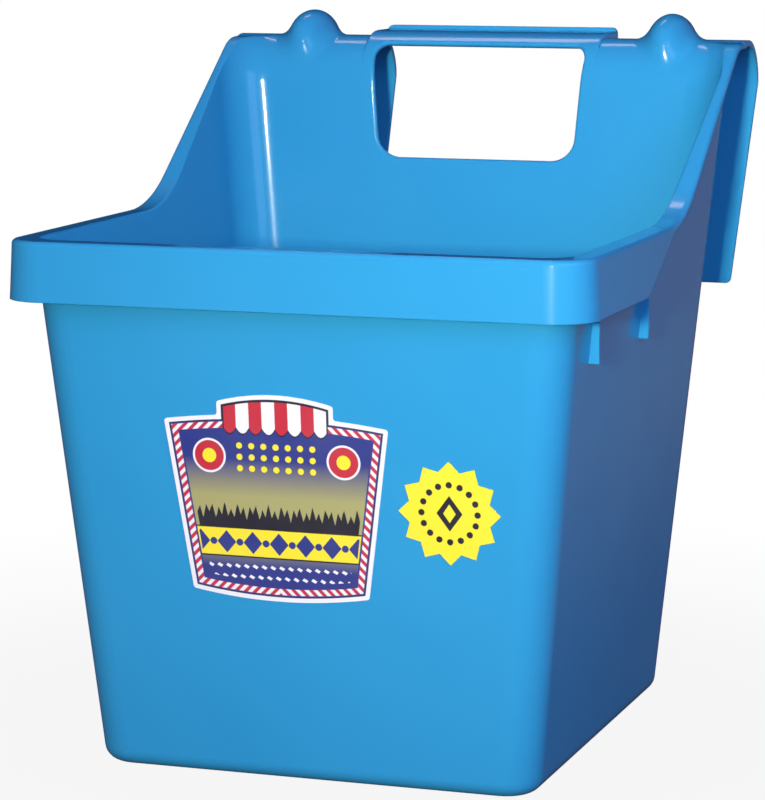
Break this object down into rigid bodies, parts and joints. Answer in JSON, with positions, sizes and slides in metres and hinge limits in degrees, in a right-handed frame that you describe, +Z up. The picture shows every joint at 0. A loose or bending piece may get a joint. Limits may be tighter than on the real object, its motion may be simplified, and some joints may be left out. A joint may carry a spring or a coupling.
{
  "type": "hook-over bucket feeder",
  "caption": "Open rectangular feed tub with a folded rim, rising side wings and twin rear hooks that hang it on a board, with a wide carrying opening between the hooks.",
  "frame": {"origin": "centre of the flat underside of the tub, where it stands on the ground", "axes": "+Z up out of the tub, +Y from the front wall towards the hooks, +X to the right seen from the front"},
  "size_m": [0.2856, 0.338, 0.3492],
  "materials": {
    "body_plastic": "semi-gloss moulded, smooth inside and out",
    "label_film": "printed film",
    "star_film": "printed film"
  },
  "bodies": {
    "root": {"feeder_body": "body_plastic", "front_label": "label_film", "star_sticker": "star_film"}
  },
  "joints": []
}
